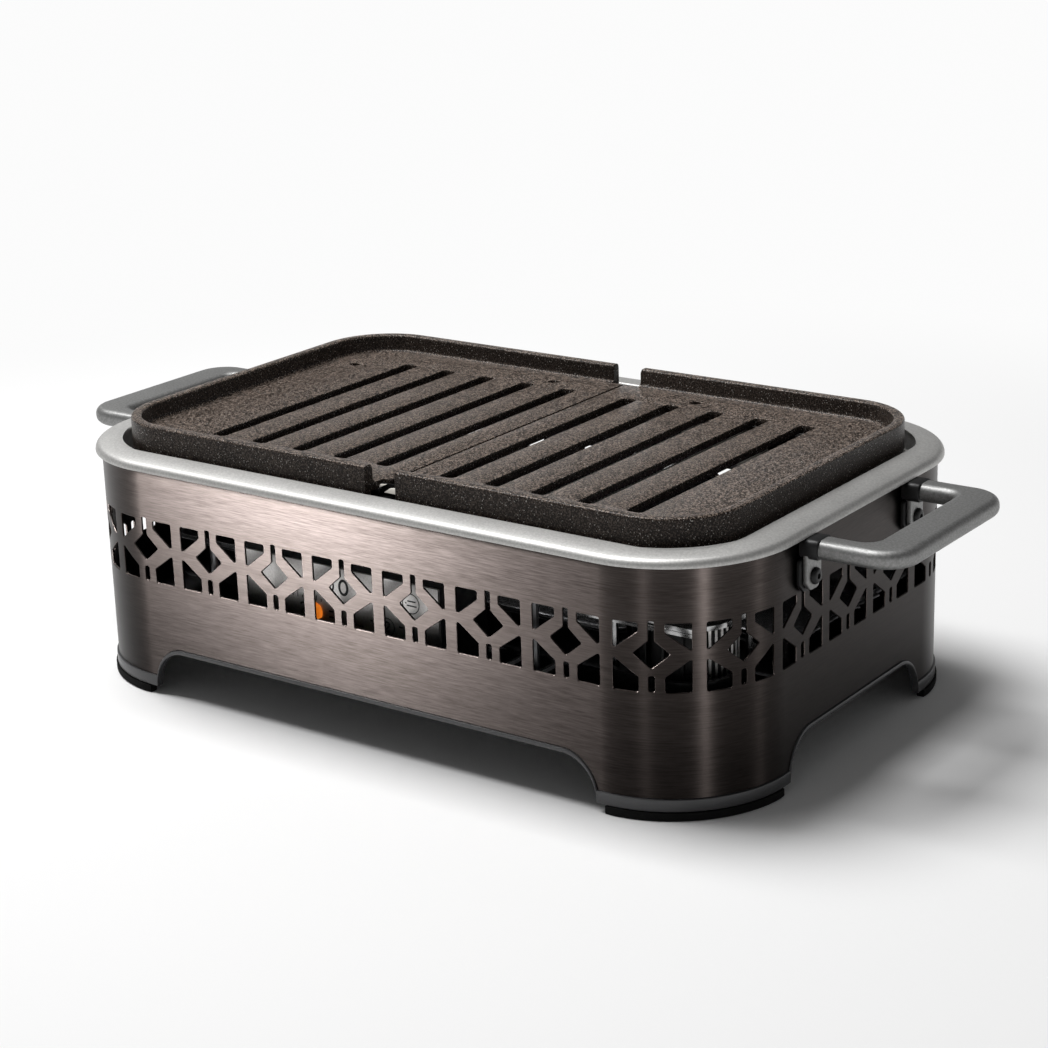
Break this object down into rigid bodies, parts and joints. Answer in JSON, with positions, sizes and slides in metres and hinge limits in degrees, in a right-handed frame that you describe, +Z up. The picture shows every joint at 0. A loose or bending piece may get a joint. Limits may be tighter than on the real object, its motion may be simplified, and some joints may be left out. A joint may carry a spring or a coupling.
{
  "type": "electric table grill",
  "caption": "Rectangular electric table grill with a pierced fretwork sleeve, two lift-off slotted plates, side handles, drip tray and blower.",
  "frame": {"origin": "on the table under the middle of the grill", "axes": "+X along the long side towards the right handle, front towards -Y, +Z up"},
  "size_m": [0.5004, 0.2624, 0.1373],
  "materials": {
    "bronze_steel": "brushed, dark bronze tint",
    "satin_silver": "satin silver",
    "bright_steel": "bright sheet",
    "zinc_steel": "zinc plated",
    "plate_coating": "cast, speckled non-stick coating",
    "black_plastic": "matt black",
    "trim_plastic": "satin dark grey",
    "rubber": "matt",
    "ceramic": "unglazed",
    "amber_lens": "clear amber",
    "heater_wire": "bare resistance wire"
  },
  "bodies": {
    "body": {"housing_sleeve": "bronze_steel", "base_trim": "trim_plastic", "rubber_foot_front_right": "rubber", "rubber_foot_rear_right": "rubber", "rubber_foot_rear_left": "rubber", "rubber_foot_front_left": "rubber", "top_rim": "satin_silver", "handle_left": "satin_silver", "handle_right": "satin_silver", "handle_spacer_left_front": "black_plastic", "handle_spacer_left_rear": "black_plastic", "handle_spacer_right_front": "black_plastic", "handle_spacer_right_rear": "black_plastic", "handle_screw_left_front": "black_plastic", "handle_screw_left_rear": "black_plastic", "handle_screw_right_front": "black_plastic", "handle_screw_right_rear": "black_plastic", "handle_strap_left": "zinc_steel", "handle_strap_right": "zinc_steel", "base_plate": "zinc_steel", "tie_bolt_left_front": "zinc_steel", "tie_bolt_left_rear": "zinc_steel", "tie_bolt_right_front": "zinc_steel", "tie_bolt_right_rear": "zinc_steel", "reflector_frame": "bright_steel", "element_rail_front": "zinc_steel", "element_rail_rear": "zinc_steel", "ceramic_block_left_front": "ceramic", "ceramic_block_left_rear": "ceramic", "ceramic_block_right_front": "ceramic", "ceramic_block_right_rear": "ceramic", "heating_coil_left": "heater_wire", "heating_coil_right": "heater_wire", "thermostat": "ceramic", "drip_tray": "bright_steel", "tray_rail_front": "zinc_steel", "tray_rail_rear": "zinc_steel", "control_box": "zinc_steel", "control_panel": "satin_silver", "pilot_lamp": "amber_lens", "selector_switch": "black_plastic", "terminal_block": "ceramic", "blower_pan": "bright_steel", "blower_cover": "bright_steel", "blower_motor": "zinc_steel", "mains_inlet": "black_plastic"},
    "plate_left": {"grill_plate_left": "plate_coating"},
    "plate_right": {"grill_plate_right": "plate_coating"},
    "selector": {"heat_selector": "black_plastic"},
    "fan": {"fan_wheel": "black_plastic"}
  },
  "joints": [
    {"name": "plate_left_lift", "type": "slide", "parent": "body", "child": "plate_left", "axis": [0, 0, 1], "range_m": [0, 0.06]},
    {"name": "plate_right_lift", "type": "slide", "parent": "body", "child": "plate_right", "axis": [0, 0, 1], "range_m": [0, 0.06]},
    {"name": "selector_slide", "type": "slide", "parent": "body", "child": "selector", "axis": [1, 0, 0], "range_m": [-0.012, 0.012]},
    {"name": "fan_spin", "type": "hinge", "parent": "body", "child": "fan", "pos_m": [0.1515, -0.0795, 0.07], "axis": [0, 0, 1], "continuous": true}
  ]
}
